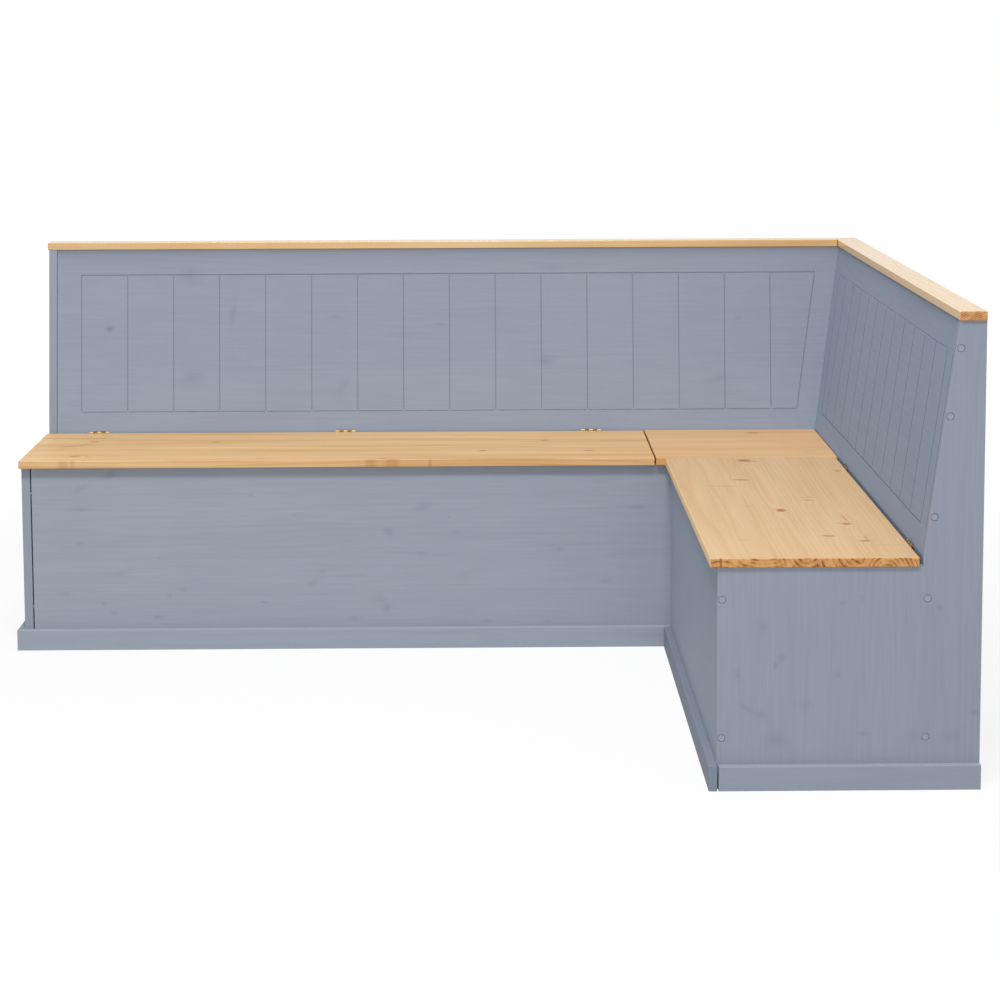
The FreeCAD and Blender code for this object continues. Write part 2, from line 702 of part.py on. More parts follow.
def lid(name, leg, outer, inner, starts):
    """Lid board with pilot holes for the hinge screws in its rear edge."""
    body = board(name, leg, outer, inner, "lid_rear", "lid_front", "lid_base", "seat_height")
    round_edges(body, "lid_rounding", lambda middle, edge: True)
    bores(body, leg, "front", "lid_rear", hinge_screw_points(starts), "small_screw_radius", "room",
          "small_screw_length - leaf_thickness")


def drill_box_back(body, leg, outer, panel_outer, starts):
    """Pilot holes for the hinge screws in the box back's face."""
    moved = ["%s + (%s) - (%s)" % (start, panel_outer, outer) for start in starts]
    bores(body, leg, "front", "back_foot_depth", hinge_screw_points(moved), "small_screw_radius",
          "wall", "small_screw_length - leaf_thickness")


def lid_and_hinges(prefix, leg, outer, inner, starts, panel, panel_outer):
    """A lid with its hinges. Distances are counted from the lid's outer end."""
    lid(prefix + "_lid", leg, outer, inner, starts)
    drill_box_back(panel, leg, outer, panel_outer, starts)
    fixed_inner = "back_foot_depth + leaf_thickness"
    moving_inner = "lid_rear - leaf_thickness"
    for index, start in enumerate(starts, start=1):
        place = "(%s) - (%s)" % (outer, start)
        name = "%s_hinge_%d" % (prefix, index)
        hinge_leaf(name + "_fixed_leaf", leg, place, "back_foot_depth", fixed_inner, 0, 3, "wall")
        hinge_leaf(name + "_lid_leaf", leg, place, "lid_rear", moving_inner, 1, 2, "room")
        rods(name + "_pin", leg, place, "end", "0", [("-(pin_depth)", "pin_level")], "pin_radius",
             "inward", "hinge_length")
    hinge_screws(prefix + "_hinge_fixed_screws", leg, outer, fixed_inner, starts, "wall")
    hinge_screws(prefix + "_hinge_lid_screws", leg, outer, moving_inner, starts, "room")


LONG_LID_LENGTH = "(long_lid_end - (long_lid_start))"
SHORT_LID_LENGTH = "(short_lid_end - (short_lid_start))"
FIRST_HINGE = "hinge_inset - hinge_length / 2"
LAST_HINGE = "%s - hinge_inset - hinge_length / 2"
MIDDLE_HINGE = "(%s) / 2 - hinge_length / 2"
lid_and_hinges("long", LONG, "long_lid_end", "long_lid_start",
               [FIRST_HINGE, MIDDLE_HINGE % LONG_LID_LENGTH, LAST_HINGE % LONG_LID_LENGTH],
               long_box_back, "long_inside")
lid_and_hinges("short", SHORT, "short_lid_end", "short_lid_start",
               [FIRST_HINGE, LAST_HINGE % SHORT_LID_LENGTH], short_box_back, "short_inside")

doc.recompute()
for item in doc.Objects:
    if "Invalid" in item.State or "Error" in item.State:
        raise RuntimeError("%s failed: %s" % (item.Label, item.State))
os.makedirs("parts", exist_ok=True)
for body, solids in NODES:
    shape = body.Shape
    if shape.isNull() or not shape.isValid():
        raise RuntimeError(body.Label + " has no valid shape")
    if len(shape.Solids) != solids:
        raise RuntimeError("%s has %d solids, not %d" % (body.Label, len(shape.Solids), solids))
    shape.exportStep("parts/%s.step" % body.Label)
    box = shape.BoundBox
    print("%-28s %2d solids %9.1f cm3  x %.1f..%.1f y %.1f..%.1f z %.1f..%.1f" % (
        body.Label, solids, shape.Volume / 1000, box.XMin, box.XMax, box.YMin, box.YMax,
        box.ZMin, box.ZMax))
print("%d nodes, lean %.2f degrees" % (len(NODES), number("lean")))
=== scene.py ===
# %% [markdown]
# # A corner bench in painted pine
# The bench is made of pine boards: painted boxes and backrests, clear waxed seats and top rails,
# brass hinges under two lifting lids. The CAD model already holds every board at its true size and
# place, so this script keeps those shapes, gives each board its finish, and turns only the small
# parts that need more shape than the CAD has: the cover caps and the hinge screws.

# %% Load the bench
import math

import bpy
import numpy as np
from mathutils import Matrix, Vector


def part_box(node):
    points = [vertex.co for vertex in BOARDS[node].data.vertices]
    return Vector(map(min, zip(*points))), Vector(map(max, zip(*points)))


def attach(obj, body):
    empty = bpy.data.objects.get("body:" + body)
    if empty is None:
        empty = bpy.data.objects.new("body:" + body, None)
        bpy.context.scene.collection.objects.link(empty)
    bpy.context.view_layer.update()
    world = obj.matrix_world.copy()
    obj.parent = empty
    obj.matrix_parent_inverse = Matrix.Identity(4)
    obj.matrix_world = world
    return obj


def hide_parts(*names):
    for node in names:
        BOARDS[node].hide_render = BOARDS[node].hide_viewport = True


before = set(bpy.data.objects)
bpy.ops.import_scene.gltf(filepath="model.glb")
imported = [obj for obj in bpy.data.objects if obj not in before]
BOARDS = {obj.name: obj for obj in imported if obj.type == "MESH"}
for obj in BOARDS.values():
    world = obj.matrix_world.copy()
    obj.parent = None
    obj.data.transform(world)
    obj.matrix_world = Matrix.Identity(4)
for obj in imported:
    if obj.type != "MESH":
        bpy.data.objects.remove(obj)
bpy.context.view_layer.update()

# %% [markdown]
# ## The camera
# The picture was taken from in front of the long seat, a little above the top rail, with a long
# lens. The camera could be pointed with an Empty as its target. Here its place and three turns are
# written down as numbers instead, because they were worked out from the bench's own edges, and a
# matrix keeps all four together. A shift by a fifth of the frame raises the bench in the picture
# without tilting the upright edges.

# %% Camera
IMAGE_SIDE = 1000
FOCAL_PIXELS = 2486.31
SENSOR = 36.0
FRAME_SHIFT = -0.2
FAR_CLIP = 60.0
CAMERA_PLACE = Vector((0.0529, -5.4326, 1.4591))
YAW, PITCH, ROLL = 0.01107, 0.11048, -0.00365

ahead = Vector((math.sin(YAW) * math.cos(PITCH), math.cos(YAW) * math.cos(PITCH), -math.sin(PITCH)))
level_right = Vector((math.cos(YAW), -math.sin(YAW), 0.0))
level_up = level_right.cross(ahead)
right = level_right * math.cos(ROLL) + level_up * math.sin(ROLL)
up = level_up * math.cos(ROLL) - level_right * math.sin(ROLL)

lens = bpy.data.cameras.new("front_camera")
lens.sensor_width = SENSOR
lens.lens = FOCAL_PIXELS * SENSOR / IMAGE_SIDE
lens.shift_y = FRAME_SHIFT
lens.clip_end = FAR_CLIP
camera = bpy.data.objects.new("front_camera", lens)
camera.matrix_world = Matrix((right, up, -ahead)).transposed().to_4x4()
camera.location = CAMERA_PLACE
bpy.context.scene.collection.objects.link(camera)
bpy.context.scene.camera = camera
bpy.context.scene.view_settings.view_transform = "Standard"
print("lens", round(lens.lens, 2), "mm")

# %% [markdown]
# ## Writing a finish as sums
# A finish is a small graph of nodes. Wiring each Math node by hand hides what is being worked out,
# so a thin class wraps a node's output and lets `+ - * /` add the Math nodes. `1 - mask` and
# `mask * 0.4 + grain` then read like the formula that they are. Every other node comes from one
# method, which takes the node's type, its settings and what goes into its sockets. All the finishes
# end alike, in a bump, a shader and an output, so one more method makes these three.

# %% Wires and finishes
CLOUD_SHIFT = (1.0, 1.7, 2.3)


class Wire:
    """A value that runs between nodes. Sums written with it add Math nodes to its finish."""

    def __init__(self, finish, socket):
        self.finish = finish
        self.socket = socket

    def __add__(self, other):
        return self.finish.math("ADD", self, other)

    def __sub__(self, other):
        return self.finish.math("SUBTRACT", self, other)

    def __rsub__(self, other):
        return self.finish.math("SUBTRACT", other, self)

    def __mul__(self, other):
        return self.finish.math("MULTIPLY", self, other)

    def __truediv__(self, other):
        return self.finish.math("DIVIDE", self, other)

    def __rtruediv__(self, other):
        return self.finish.math("DIVIDE", other, self)

    __radd__ = __add__
    __rmul__ = __mul__


class Finish:
    """The nodes of one finish, on a material or on the world."""

    def __init__(self, owner):
        owner.use_nodes = True
        self.owner = owner
        self.tree = owner.node_tree
        self.tree.nodes.clear()

    def node(self, kind, settings=None, inputs=None, output=0):
        """Adds a node: first its settings, then its sockets' values or wires. Returns one output."""
        made = self.tree.nodes.new(kind)
        for name, value in (settings or {}).items():
            if name == "stops":
                points = made.color_ramp.elements
                while len(points) < len(value):
                    points.new(0.5)
                for point, (place, level) in zip(points, value):
                    point.position = place
                    point.color = (level, level, level, 1.0)
            else:
                setattr(made, name, value)
        for name, value in (inputs or {}).items():
            if isinstance(value, Wire):
                self.tree.links.new(value.socket, made.inputs[name])
            else:
                made.inputs[name].default_value = value
        return Wire(self, made.outputs[output]) if len(made.outputs) else None

    def math(self, operation, first, second=0.0):
        """One Math node."""
        return self.node("ShaderNodeMath", {"operation": operation}, {0: first, 1: second})

    def blend(self, share, first, second, way="MIX"):
        """Colour between first (share 0) and second (share 1), or another way of mixing them."""
        return self.node("ShaderNodeMix", {"data_type": "RGBA", "blend_type": way},
                         {0: share, 6: first, 7: second}, 2)

    def place(self):
        """Object coordinates, which on this bench are metres in the room."""
        return self.node("ShaderNodeTexCoord", output="Object")

    def axes(self, place):
        """The three coordinates as a list of wires."""
        apart = self.node("ShaderNodeSeparateXYZ", inputs={0: place})
        sockets = apart.socket.node.outputs
        return [Wire(self, sockets[axis]) for axis in range(3)]

    def cloud(self, place, scale, shift=0.0, detail=3.0, rough=0.55):
        """Noise around 0.5 whose grain is `scale` waves per metre along each axis. shift moves it,
        so that no two boards and no two noises of one board are alike."""
        moved = [shift * share for share in CLOUD_SHIFT]
        spread = self.node("ShaderNodeMapping", {"vector_type": "POINT"},
                           {"Vector": place, "Location": moved, "Scale": scale})
        return self.node("ShaderNodeTexNoise", {"noise_dimensions": "3D"},
                         {"Vector": spread, "Scale": 1.0, "Detail": detail, "Roughness": rough})

    def surface(self, colour, rough, height, strength, distance, **sockets):
        """The relief, the shader and the output: height pushes the surface by up to `distance`
        metres, as much as `strength` says. sockets sets more of the shader's numbers, named with _
        for each space. Returns the finished material."""
        relief = self.node("ShaderNodeBump", inputs={
            "Strength": strength, "Distance": distance, "Height": height})
        named = {name.replace("_", " "): value for name, value in sockets.items()}
        gloss = self.node("ShaderNodeBsdfPrincipled", inputs={
            "Base Color": colour, "Roughness": rough, "Normal": relief, **named})
        self.node("ShaderNodeOutputMaterial", inputs={"Surface": gloss})
        return self.owner


def paint_code(red, green, blue):
    """A colour as mixed for the screen (0 to 255), turned into the linear numbers that shaders use."""
    parts = np.array((red, green, blue)) / 255.0
    linear = np.where(parts <= 0.04045, parts / 12.92, ((parts + 0.055) / 1.055) ** 2.4)
    return (*(float(part) for part in linear), 1.0)


def tinted(colour, tint):
    """The same colour with its red, green and blue each scaled a little."""
    return (*(part * share for part, share in zip(colour, tint)), 1.0)


def dress(name, material):
    """Puts a material on a CAD node in place of its plain one."""
    BOARDS[name].data.materials.clear()
    BOARDS[name].data.materials.append(material)


print("mid grey in linear light:", [round(part, 3) for part in paint_code(128, 128, 128)[:3]])

# %% [markdown]
# ## Floor, room and lamps
# The bench stands in a white room with no visible corners. A white floor could be had by turning
# the lamps up until it burns out, but the wood would burn out with it. Instead most of the floor's
# white is a glow that only rays from the camera or from a reflection see. The rest is a real matt
# white, which carries the bench's shadow.

# %% Floor
FLOOR_HALF = 30.0
FLOOR_MATT = paint_code(206, 206, 206)
FLOOR_GLOW = 1.05
GLOW_NEAR, GLOW_FAR = 0.82, 1.0
WHITE = (1.0, 1.0, 1.0, 1.0)
SHADOW_ENDS, WHITE_STARTS = 1.6, 3.6

floor_mesh = bpy.data.meshes.new("studio_floor")
floor_mesh.from_pydata([(-FLOOR_HALF, -FLOOR_HALF, 0), (FLOOR_HALF, -FLOOR_HALF, 0),
                        (FLOOR_HALF, FLOOR_HALF, 0), (-FLOOR_HALF, FLOOR_HALF, 0)], [], [(0, 1, 2, 3)])
floor = bpy.data.objects.new("studio_floor", floor_mesh)
bpy.context.scene.collection.objects.link(floor)


def seen_directly(finish):
    """1 for rays from the camera, from a reflection or through glass, 0 for light on its way."""
    path = finish.node("ShaderNodeLightPath").socket.node.outputs
    rays = [Wire(finish, path["Is " + kind + " Ray"]) for kind in ("Camera", "Glossy", "Transmission")]
    return finish.math("MINIMUM", rays[0] + rays[1] + rays[2], 1.0)


floor_finish = Finish(bpy.data.materials.new("white_floor"))
matt = floor_finish.node("ShaderNodeBsdfDiffuse", inputs={"Color": FLOOR_MATT})
glow = floor_finish.node("ShaderNodeEmission", inputs={"Color": WHITE, "Strength": FLOOR_GLOW})
from_bench = floor_finish.node("ShaderNodeVectorMath", {"operation": "LENGTH"},
                               {0: floor_finish.place()}, "Value")
glow_share = floor_finish.node("ShaderNodeMapRange", {"interpolation_type": "SMOOTHSTEP"}, {
    "Value": from_bench, "From Min": SHADOW_ENDS, "From Max": WHITE_STARTS,
    "To Min": GLOW_NEAR, "To Max": GLOW_FAR})
both = floor_finish.node("ShaderNodeMixShader",
                         inputs={0: seen_directly(floor_finish) * glow_share, 1: matt, 2: glow})
floor_finish.node("ShaderNodeOutputMaterial", inputs={"Surface": both})
floor_mesh.materials.append(floor_finish.owner)
print("floor", 2 * FLOOR_HALF, "m wide")

# %% [markdown]
# ## Light
# The picture's light is very even: boards that face the camera all have one level, boards that face
# left have about 0.7 of it, and under the lids a soft dark band shows that most light comes from
# high in front. So there are three lights: a large lamp high in front, the white room itself, and a
# wide, weak lamp behind the camera. Blender could aim a lamp with a Track To constraint, but a lamp
# that never moves can be turned once, by a formula.

# %% Room and lamps
ROOM_LEVEL = 0.45
AIM = Vector((0.1, 0.2, 0.4))

world = bpy.data.worlds.new("white_room")
bpy.context.scene.world = world
room = Finish(world)
around = room.node("ShaderNodeBackground", inputs={"Color": WHITE, "Strength": ROOM_LEVEL})
white = room.node("ShaderNodeBackground", inputs={"Color": WHITE, "Strength": 1.0})
shown = room.node("ShaderNodeMixShader", inputs={0: seen_directly(room), 1: around, 2: white})
room.node("ShaderNodeOutputWorld", inputs={"Surface": shown})


def softbox(name, place, width, height, level):
    """Area lamp facing the bench. level is what a white board facing it would show, so its power
    is level * (pi * distance) squared."""
    lamp = bpy.data.lights.new(name, "AREA")
    lamp.shape = "RECTANGLE"
    lamp.size, lamp.size_y = width, height
    distance = (AIM - place).length
    lamp.energy = level * (math.pi * distance) ** 2
    stand = bpy.data.objects.new(name, lamp)
    stand.location = place
    stand.rotation_euler = (AIM - place).to_track_quat("-Z", "Y").to_euler()
    stand.visible_camera = False
    bpy.context.scene.collection.objects.link(stand)
    return stand


for stand in (softbox("high_lamp", Vector((-0.4, -3.0, 6.6)), width=2.2, height=1.2, level=0.80),
              softbox("low_lamp", Vector((-0.4, -6.5, 1.6)), width=4.0, height=2.0, level=0.13)):
    print(stand.name, "power", round(stand.data.energy))

# %% [markdown]
# ## How pine grows
# Every board here is pine, glued up from staves about 75 mm wide. A picture of planks could be laid
# on the faces, but it would not turn the corner onto the end grain. So the tree is worked out
# instead: each stave has its own heart line, running along the board, and a point's distance from it
# counts its growth rings. The same sum draws straight lines where a stave is cut through the heart,
# wide arches where it is cut beside it, and curved bands on the sawn ends.

# %% Staves and growth rings
RING_RAMP = [(0.0, 0.35), (0.12, 0.0), (0.55, 0.12), (0.86, 0.85), (0.95, 1.0), (1.0, 0.35)]
STAVE_WIDTH, EDGE_PLAY = 0.075, 0.12
HEART_ASIDE, HEART_DEPTHS = 0.9, (0.02, 0.09)
RING_SPACINGS, TONE_SPREAD = (0.0032, 0.0062), 0.05
SLOW_ACROSS, SLOW_ALONG, WOBBLE_WIDTH = 9.0, 1.1, 0.022
RIGHT_THROUGH = 50.0
WOOD_DRAWS = np.random.default_rng(41)


def plan_staves(low, high, face):
    """Edges, hearts (across, depth), ring spacings and tones of a board's staves.
    low and high are the board's limits across its grain, face the depth of its best face. The hearts
    lie up to HEART_ASIDE of a stave's width beside its middle, in front of the face or behind it."""
    count = max(1, round((high - low) / STAVE_WIDTH))
    edges = np.linspace(low, high, count + 1)
    edges[1:-1] += WOOD_DRAWS.uniform(-EDGE_PLAY, EDGE_PLAY, count - 1) * STAVE_WIDTH
    middles = (edges[1:] + edges[:-1]) / 2
    hearts = middles + WOOD_DRAWS.uniform(-HEART_ASIDE, HEART_ASIDE, count) * STAVE_WIDTH
    depths = face + WOOD_DRAWS.choice((-1.0, 1.0), count) * WOOD_DRAWS.uniform(*HEART_DEPTHS, count)
    return {"edges": edges[1:-1].tolist(), "hearts": list(zip(hearts.tolist(), depths.tolist())),
            "spacing": WOOD_DRAWS.uniform(*RING_SPACINGS, count).tolist(),
            "tone": WOOD_DRAWS.uniform(-TONE_SPREAD, TONE_SPREAD, count).tolist()}


def drawn_out(along, across_grain, along_grain):
    """Waves per metre of a noise that is drawn out along the grain: many across it, few along it."""
    scale = [across_grain] * 3
    scale[along] = along_grain
    return scale


def grow(finish, place, along, across, depth, staves, bulges=0.0, shift=0.0):
    """Late wood (0 to 1) and the stave's tone at each point.
    rings = distance to the heart / ring spacing, where a slow wobble and the knots push the rings
    aside; late wood is the dark end of each ring, read from a ramp."""
    axes = finish.axes(place)
    steps = [finish.math("GREATER_THAN", axes[across], edge) for edge in staves["edges"]]

    def own(values):
        """The stave's own value: the first stave's, plus each change at the edges passed."""
        total = values[0]
        for step, before, after in zip(steps, values, values[1:]):
            total = step * (after - before) + total
        return total

    sideways = axes[across] - own([heart[0] for heart in staves["hearts"]])
    inwards = axes[depth] - own([heart[1] for heart in staves["hearts"]])
    radius = finish.math("SQRT", sideways * sideways + inwards * inwards)
    slow = drawn_out(along, SLOW_ACROSS, SLOW_ALONG)
    wobble = (finish.cloud(place, slow, shift + 3.1, detail=2.0) - 0.5) * WOBBLE_WIDTH
    rings = (radius + wobble + bulges) / own(staves["spacing"])
    late = finish.node("ShaderNodeValToRGB", {"stops": RING_RAMP}, {0: finish.math("FRACT", rings)})
    return late, own(staves["tone"])


def spots(finish, place, faces, marks, crisp=False):
    """Sum of soft ellipses strength * exp(-d * d), with d the distance in the ellipse's half widths,
    or of crisp ones, strength * exp(-d * d * d * d).
    faces names the two axes that a mark's place, half widths and turn are counted in. Along the
    third axis a mark reaches right through the board."""
    first, second = ("xyz".index(letter) for letter in faces)
    third = 3 - first - second
    way = 1.0 if (second - first) % 3 == 1 else -1.0
    total = 0.0
    for across, upward, half_across, half_upward, turn, strength in marks:
        centre, halves, angles = [0.0] * 3, [RIGHT_THROUGH] * 3, [0.0] * 3
        centre[first], centre[second] = across, upward
        halves[first], halves[second] = half_across, half_upward
        angles[third] = way * math.radians(turn)
        local = finish.node("ShaderNodeMapping", {"vector_type": "TEXTURE"},
                            {"Vector": place, "Location": centre, "Rotation": angles, "Scale": halves})
        squared = finish.node("ShaderNodeVectorMath", {"operation": "DOT_PRODUCT"},
                              {0: local, 1: local}, "Value")
        reach = squared * squared if crisp else squared
        total = finish.math("EXPONENT", reach * -1.0) * strength + total
    return total


print("ring spacing of a trial board:", [round(gap, 4) for gap in plan_staves(0.0, 0.4, 0.0)["spacing"]])

# %% [markdown]
# ## Painted pine
# The boxes and backrests have a thin grey-blue paint. It hides the wood's colour but not its
# surface: fine lines along the grain, slow clouds where it soaked in, and faint darker patches over
# knots. Two paint levels are mixed by those sums, and the same lines give the bump. Each board also
# has a tint, and some fade from one end to the other, so that each has the level that it has in the
# picture; these tints and fades are partly painted light and shade. On the backrests the upright
# grooves and a band along the rail get painted shade, and the level grooves get painted light. A
# painted map could show that, but the grooves' floors are known from the CAD model: they lie behind
# the leaning face, and that is one short sum.

# %% Paint
X, Y, Z = 0, 1, 2
PLAIN = (1.0, 1.0, 1.0)
PAINT_THIN = paint_code(164, 170, 183)
PAINT_FULL = paint_code(130, 137, 150)
# the next colour is painted shade, for the upright grooves and the band under the rail
PAINTED_SHADE_COLOUR = paint_code(60, 66, 78)
# the next colour is painted light, for the level grooves
PAINTED_LIGHT_COLOUR = paint_code(200, 206, 218)
PAINT_COVER, FIBRE_SHOWS, SOAK_SHOWS, RINGS_SHOW, STAVES_SHOW = 0.52, 0.30, 0.22, 0.05, 0.5
PAINT_ROUGH, PAINT_ROUGH_PLAY, PAINT_SHINE = 0.72, 0.16, 0.2
FIBRE_ACROSS, FIBRE_ALONG, SOAK_SIZE = 140.0, 7.0, (4.0, 4.0, 4.0)
LEAN = math.atan2(0.063, 0.452)
GROOVE_STARTS, GROOVE_SURE, GROOVE_DEPTH = 0.00006, 0.00016, 0.0025
UPRIGHTS_MIDDLE, UPRIGHTS_HALF = 0.670, 0.1675
# painted shadow under the rail: how fast it fades downwards, and how dark it is
RAIL_SHADOW_FADE, RAIL_SHADOW_SHARE = 0.012, 0.46
# how far up from the seat the painted cool light on a backrest's foot reaches
FOOT_LIGHT_FADE = 0.12


def groove_shade_and_light(finish, axes, depth, seat, rail, colour, leaning, groove_shade, groove_light):
    """Painted shade in the upright grooves and in a band under the rail, and painted light in the
    level grooves, on a leaning face. A point's distance behind that face is
    (depth - leaning) * cos(lean) - (height above the seat) * sin(lean), and a groove's floor is
    between GROOVE_STARTS and GROOVE_DEPTH behind it."""
    behind = (axes[depth] - leaning) * math.cos(LEAN) - (axes[Z] - seat) * math.sin(LEAN)
    groove = finish.node("ShaderNodeMapRange", inputs={
        "Value": behind, "From Min": GROOVE_STARTS, "From Max": GROOVE_SURE})
    groove = groove * finish.math("LESS_THAN", behind, GROOVE_DEPTH)
    aside = finish.math("ABSOLUTE", axes[Z] - UPRIGHTS_MIDDLE)
    upright = finish.math("LESS_THAN", aside, UPRIGHTS_HALF)
    upper = finish.math("GREATER_THAN", axes[Z], UPRIGHTS_MIDDLE)
    # painted light in the level grooves
    painted_light = groove * (1.0 - upright) * (upper * (groove_light[1] - groove_light[0]) + groove_light[0])
    # painted shadow under the rail; the next line adds painted shade in the upright grooves
    rail_shadow = finish.math("EXPONENT", (axes[Z] - rail) / RAIL_SHADOW_FADE) * RAIL_SHADOW_SHARE
    painted_shade = finish.math("MAXIMUM", groove * upright * groove_shade, rail_shadow)
    return finish.blend(painted_light, finish.blend(painted_shade, colour, PAINTED_SHADE_COLOUR), PAINTED_LIGHT_COLOUR)


def paint_board(name, along, across, tint=PLAIN, far_tint=None, fading=Z, marks=(), shift=0.0,
                leaning=None, groove_shade=0.0, groove_light=(0.0, 0.0), foot_light_tint=PLAIN):
    """Gives a painted board its finish. along and across are the axes of its grain and its staves.
    The paint's tint fades into far_tint along the axis fading; tint and fade are partly painted light
    and shade. marks are given in x and z. leaning is where a backrest's face stands at seat height,
    groove_shade how much painted shade its upright grooves get, and groove_light how much painted
    light the level ones get (lower, upper). Near the seat the board takes foot_light_tint as well,
    a painted cool light."""
    low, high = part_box(name)
    depth = 3 - along - across
    finish = Finish(bpy.data.materials.new("paint_" + name))
    place = finish.place()
    staves = plan_staves(low[across], high[across], low[depth])
    late, own_tone = grow(finish, place, along, across, depth, staves, shift=shift)
    fibre = finish.cloud(place, drawn_out(along, FIBRE_ACROSS, FIBRE_ALONG), shift)
    soaked = finish.cloud(place, SOAK_SIZE, shift + 1.3)
    level = (PAINT_COVER + (fibre - 0.5) * FIBRE_SHOWS + (soaked - 0.5) * SOAK_SHOWS
             - late * RINGS_SHOW + own_tone * STAVES_SHOW - spots(finish, place, "xz", marks))
    colour = finish.blend(level, PAINT_FULL, PAINT_THIN)
    axes = finish.axes(place)
    if leaning:
        colour = groove_shade_and_light(finish, axes, depth, low[Z], high[Z], colour, leaning, groove_shade, groove_light)
    way = finish.node("ShaderNodeMapRange", inputs={
        "Value": axes[fading], "From Min": low[fading], "From Max": high[fading]})
    tones = finish.blend(way, (*tint, 1.0), (*(far_tint or tint), 1.0))
    colour = finish.blend(1.0, colour, tones, "MULTIPLY")
    # painted cool light near the seat, against the warm light that the seat throws
    if foot_light_tint != PLAIN:
        near_seat = finish.math("EXPONENT", (axes[Z] - low[Z]) / -FOOT_LIGHT_FADE)
        colour = finish.blend(near_seat, colour, (*foot_light_tint, 1.0), "MULTIPLY")
    rough = PAINT_ROUGH + (soaked - 0.5) * PAINT_ROUGH_PLAY
    dress(name, finish.surface(colour, rough, fibre * 0.6 + late * -0.35, strength=0.25,
                               distance=0.0004, Specular_IOR_Level=PAINT_SHINE))


print("a backrest leans", round(math.degrees(LEAN), 1), "degrees")

# %% [markdown]
# ## Marks over the knots
# Paint sinks differently over a knot, and it shows as a faint dark patch. They could be scattered by
# a noise, but the eye knows such patches by their places. So the ones on the boards that face the
# camera are listed where the real ones are: x, z, two half widths, a turn in degrees and a strength.

# %% Marks
LONG_FRONT_MARKS = [
    (-0.795, 0.415, 0.016, 0.008, 25, 0.30), (-0.868, 0.381, 0.022, 0.007, 30, 0.16),
    (-0.869, 0.333, 0.020, 0.007, 5, 0.22), (-0.871, 0.252, 0.007, 0.004, 0, 0.24),
    (-0.688, 0.215, 0.004, 0.003, 0, 0.30), (-0.779, 0.178, 0.028, 0.008, 10, 0.14),
    (-0.634, 0.139, 0.009, 0.005, 0, 0.24), (-0.663, 0.125, 0.005, 0.004, 0, 0.40),
    (-0.909, 0.131, 0.014, 0.005, 0, 0.20), (-0.817, 0.107, 0.007, 0.004, 0, 0.36),
    (-0.794, 0.085, 0.008, 0.004, 0, 0.26), (-0.694, 0.075, 0.010, 0.004, 0, 0.22),
    (-0.469, 0.364, 0.005, 0.002, 10, 0.30), (-0.369, 0.317, 0.003, 0.003, 0, 0.26),
    (-0.066, 0.334, 0.020, 0.009, 15, 0.26), (-0.146, 0.275, 0.014, 0.009, -35, 0.26),
    (-0.071, 0.224, 0.011, 0.004, 0, 0.24), (-0.326, 0.154, 0.016, 0.006, 35, 0.20),
    (-0.304, 0.180, 0.009, 0.006, 35, 0.16), (-0.227, 0.173, 0.026, 0.004, 0, 0.12),
    (-0.169, 0.117, 0.014, 0.009, -20, 0.22), (-0.152, 0.093, 0.010, 0.010, -40, 0.28),
    (-0.228, 0.069, 0.013, 0.005, 0, 0.22), (-0.442, 0.109, 0.006, 0.002, 0, 0.36),
    (0.009, 0.274, 0.008, 0.005, 0, 0.14), (-0.005, 0.310, 0.003, 0.002, 0, 0.30),
    (0.434, 0.331, 0.018, 0.004, 0, 0.30), (0.256, 0.232, 0.009, 0.006, 0, 0.26),
    (0.362, 0.154, 0.012, 0.005, 0, 0.26), (0.029, 0.169, 0.024, 0.010, 10, 0.14),
    (0.083, 0.060, 0.014, 0.004, 0, 0.24), (0.227, 0.059, 0.010, 0.004, 0, 0.16),
]
LONG_BACK_MARKS = [
    (-0.853, 0.706, 0.009, 0.007, 0, 0.50), (-0.653, 0.839, 0.024, 0.017, 0, 0.24),
    (-0.649, 0.584, 0.030, 0.016, 20, 0.24), (-0.546, 0.739, 0.007, 0.030, -10, 0.24),
    (-0.294, 0.733, 0.016, 0.003, 3, 0.26), (-0.026, 0.714, 0.014, 0.003, -3, 0.26),
    (-0.274, 0.557, 0.010, 0.030, -25, 0.16), (0.233, 0.622, 0.020, 0.016, 0, 0.20),
    (0.717, 0.728, 0.008, 0.008, 0, 0.16), (0.671, 0.580, 0.020, 0.008, 15, 0.18),
    (0.242, 0.855, 0.030, 0.006, -8, 0.12), (-0.110, 0.690, 0.050, 0.010, 0, 0.08),
]
END_MARKS = [
    (0.6027, 0.3165, 0.009, 0.012, 0, 0.18), (0.6262, 0.2404, 0.004, 0.005, 0, 0.42),
    (0.6395, 0.2559, 0.007, 0.008, 0, 0.24), (0.5538, 0.2233, 0.006, 0.010, 0, 0.26),
    (0.7468, 0.2220, 0.007, 0.007, 0, 0.24), (0.5714, 0.1586, 0.016, 0.006, -35, 0.24),
    (0.6002, 0.1447, 0.008, 0.010, 0, 0.28), (0.6881, 0.1637, 0.016, 0.014, 0, 0.18),
    (0.6275, 0.0955, 0.018, 0.014, 0, 0.22), (0.7980, 0.1061, 0.012, 0.004, -5, 0.30),
    (1.0083, 0.1478, 0.010, 0.004, 10, 0.24), (0.9398, 0.3513, 0.005, 0.005, 0, 0.28),
    (0.7547, 0.3621, 0.007, 0.005, 0, 0.20), (0.7908, 0.3716, 0.006, 0.006, 0, 0.20),
    (0.8950, 0.1020, 0.012, 0.014, 0, 0.16), (0.9650, 0.1000, 0.026, 0.010, 20, 0.12),
]
print("marks:", len(LONG_FRONT_MARKS) + len(LONG_BACK_MARKS) + len(END_MARKS))

